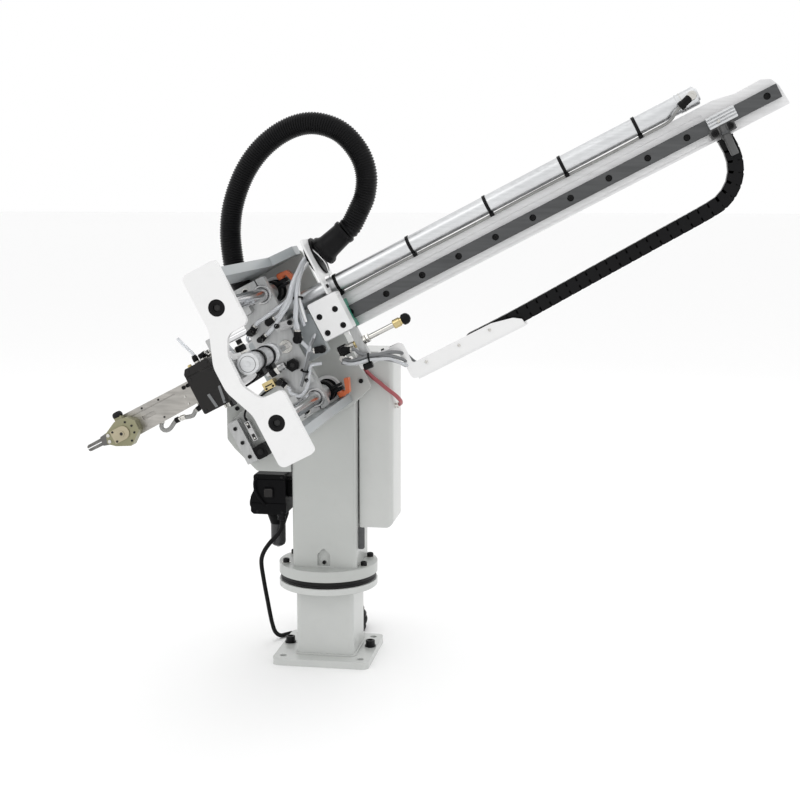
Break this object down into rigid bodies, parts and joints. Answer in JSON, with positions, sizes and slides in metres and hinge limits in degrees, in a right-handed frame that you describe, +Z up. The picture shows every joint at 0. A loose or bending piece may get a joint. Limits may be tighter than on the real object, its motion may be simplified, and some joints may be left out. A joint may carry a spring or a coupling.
{
  "type": "swing-arm take-out robot",
  "caption": "Pedestal robot with a tilting head on a square column, a sliding carriage on guide rods, a long rail arm with cable chain, a wrist and nipper jaws.",
  "frame": {"origin": "bottom centre of the base plate, on the machine that it is bolted to", "axes": "+X along the base's front edge, in the direction the arm's tail rises; +Y from the front plate along the guide rods towards the column; +Z up the column"},
  "size_m": [1.0267, 0.5544, 0.8916],
  "materials": {
    "paint": "satin",
    "white": "satin",
    "grey_paint": "satin",
    "steel": "brushed",
    "rail_steel": "ground",
    "chrome": "polished",
    "aluminium": "anodised",
    "black_oxide": "blackened",
    "black_plastic": "moulded",
    "black_rubber": "matt",
    "orange_plastic": "moulded",
    "green_plastic": "moulded",
    "olive_anodised": "anodised",
    "box_black": "satin",
    "bowl_plastic": "smoked"
  },
  "bodies": {
    "base": {"base_casting": "paint", "swivel_ring": "black_rubber", "base_bolt_left": "black_oxide", "base_bolt_right": "black_oxide", "cable_coil": "black_rubber", "control_cable": "black_rubber", "cable_plug": "black_plastic"},
    "column": {"column": "paint", "swing_housing": "paint", "swing_bracket": "paint", "valve_cover": "white", "filter_body": "black_plastic", "filter_bowl": "bowl_plastic", "cable_gland": "black_plastic"},
    "head": {"swing_shaft": "steel", "rear_plate": "paint", "top_plate": "grey_paint", "bottom_plate": "grey_paint", "front_plate": "white", "rod_cap_upper": "black_plastic", "rod_cap_lower": "black_plastic", "guide_rod_upper": "chrome", "guide_rod_lower": "chrome", "stop_collar_upper": "black_oxide", "stop_collar_lower": "black_oxide", "stop_channel": "grey_paint", "swing_bumper": "black_rubber", "kick_bracket": "aluminium", "kick_cylinder": "steel", "hose_socket": "black_plastic"},
    "lever_upper": {"clamp_lever_upper": "orange_plastic"},
    "lever_lower": {"clamp_lever_lower": "orange_plastic"},
    "carriage": {"carriage_plate": "aluminium", "slide_bush_upper": "aluminium", "slide_bush_lower": "aluminium", "kick_rod": "chrome", "guide_housing": "grey_paint", "guide_block": "steel", "block_seal": "green_plastic", "block_mount": "white", "cylinder_tube": "aluminium", "cable_tray": "white", "hose_plate": "white", "hose_boot": "black_rubber", "stop_block": "grey_paint", "stop_rod": "steel", "corrugated_hose": "black_rubber", "drag_chain": "black_plastic"},
    "stop_knob": {"stop_knob": "black_plastic"},
    "hex_knob": {"hex_knob": "black_plastic"},
    "arm": {"arm_beam": "aluminium", "linear_rail": "rail_steel", "chain_clip": "aluminium", "arm_box": "box_black", "rod_lug": "steel", "piston_rod": "chrome", "gripper_bar": "steel"},
    "wrist": {"wrist_body": "olive_anodised"},
    "jaw_a": {"jaw_a": "steel"},
    "jaw_b": {"jaw_b": "steel"}
  },
  "joints": [
    {"name": "column_swivel", "type": "hinge", "parent": "base", "child": "column", "pos_m": [0, 0, 0.13], "axis": [0, 0, 1], "range_deg": [-45, 45], "deforming": ["control_cable"]},
    {"name": "arm_swing", "type": "hinge", "parent": "column", "child": "head", "pos_m": [-0.0246, 0, 0.5141], "axis": [0, -1, 0], "range_deg": [0, 62.4]},
    {"name": "carriage_slide", "type": "slide", "parent": "head", "child": "carriage", "axis": [0, -1, 0], "range_m": [0, 0.08], "deforming": ["corrugated_hose"]},
    {"name": "arm_stroke", "type": "slide", "parent": "carriage", "child": "arm", "axis": [-0.8862, 0, -0.4633], "range_m": [0, 0.5], "deforming": ["drag_chain"]},
    {"name": "wrist_flip", "type": "hinge", "parent": "arm", "child": "wrist", "pos_m": [-0.29177, -0.119, 0.3733], "axis": [0, 1, 0], "range_deg": [0, 90]},
    {"name": "jaw_a_open", "type": "hinge", "parent": "wrist", "child": "jaw_a", "pos_m": [-0.323, -0.1195, 0.36397], "axis": [0, 1, 0], "range_deg": [0, 12]},
    {"name": "jaw_b_open", "type": "hinge", "parent": "wrist", "child": "jaw_b", "pos_m": [-0.32004, -0.1195, 0.3583], "axis": [0, 1, 0], "range_deg": [-12, 0]},
    {"name": "lever_upper_turn", "type": "hinge", "parent": "head", "child": "lever_upper", "pos_m": [-0.04513, -0.09, 0.60301], "axis": [-0.4633, 0, 0.8862], "range_deg": [-35, 35]},
    {"name": "lever_lower_turn", "type": "hinge", "parent": "head", "child": "lever_lower", "pos_m": [0.03669, -0.09, 0.4465], "axis": [-0.4633, 0, 0.8862], "range_deg": [-35, 35]},
    {"name": "stop_knob_turn", "type": "hinge", "parent": "carriage", "child": "stop_knob", "pos_m": [0.05335, -0.1312, 0.50746], "axis": [0.8862, 0, 0.4633], "continuous": true},
    {"name": "hex_knob_turn", "type": "hinge", "parent": "carriage", "child": "hex_knob", "pos_m": [-0.01652, -0.15, 0.48786], "axis": [0, 1, 0], "continuous": true}
  ],
  "couplings": [
    {"joint": "jaw_b_open", "follows": "jaw_a_open", "ratio": -1}
  ]
}
